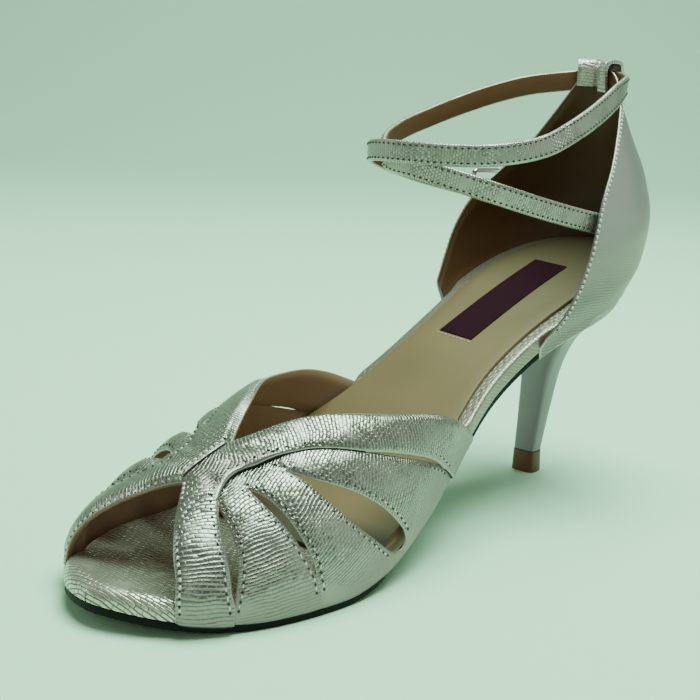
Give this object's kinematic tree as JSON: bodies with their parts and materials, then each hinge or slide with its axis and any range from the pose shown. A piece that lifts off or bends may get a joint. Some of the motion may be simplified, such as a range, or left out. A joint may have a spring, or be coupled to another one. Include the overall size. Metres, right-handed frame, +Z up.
{
  "type": "flamenco shoe",
  "caption": "Open-toed flamenco dance sandal for the right foot: slit wrap upper, closed heel counter, crossed ankle strap with a buckle, and a slim high heel.",
  "frame": {"origin": "on the floor at the middle of the heel tip", "axes": "+X along the foot towards the toe, +Y to the medial side, +Z up"},
  "size_m": [0.2403, 0.0793, 0.1478],
  "materials": {
    "silver_leather": "silver foil leather with a fine lizard emboss",
    "silver_edge": "silver foil leather wrapped over the insole board",
    "tan_lining": "matt tan sock lining",
    "black_sole": "thin sole leather with a blackened edge",
    "heel_cover": "smooth silver grey heel cover, satin",
    "top_piece": "brown hard rubber, matt",
    "buckle_metal": "bright nickel plate"
  },
  "bodies": {
    "root": {"vamp": "silver_leather", "counter": "silver_leather", "strap_loop": "silver_leather", "ankle_strap": "silver_leather", "insole": "silver_edge", "sock": "tan_lining", "outsole": "black_sole", "heel": "heel_cover", "top_piece": "top_piece", "buckle_frame": "buckle_metal", "buckle_prong": "buckle_metal"}
  },
  "joints": []
}
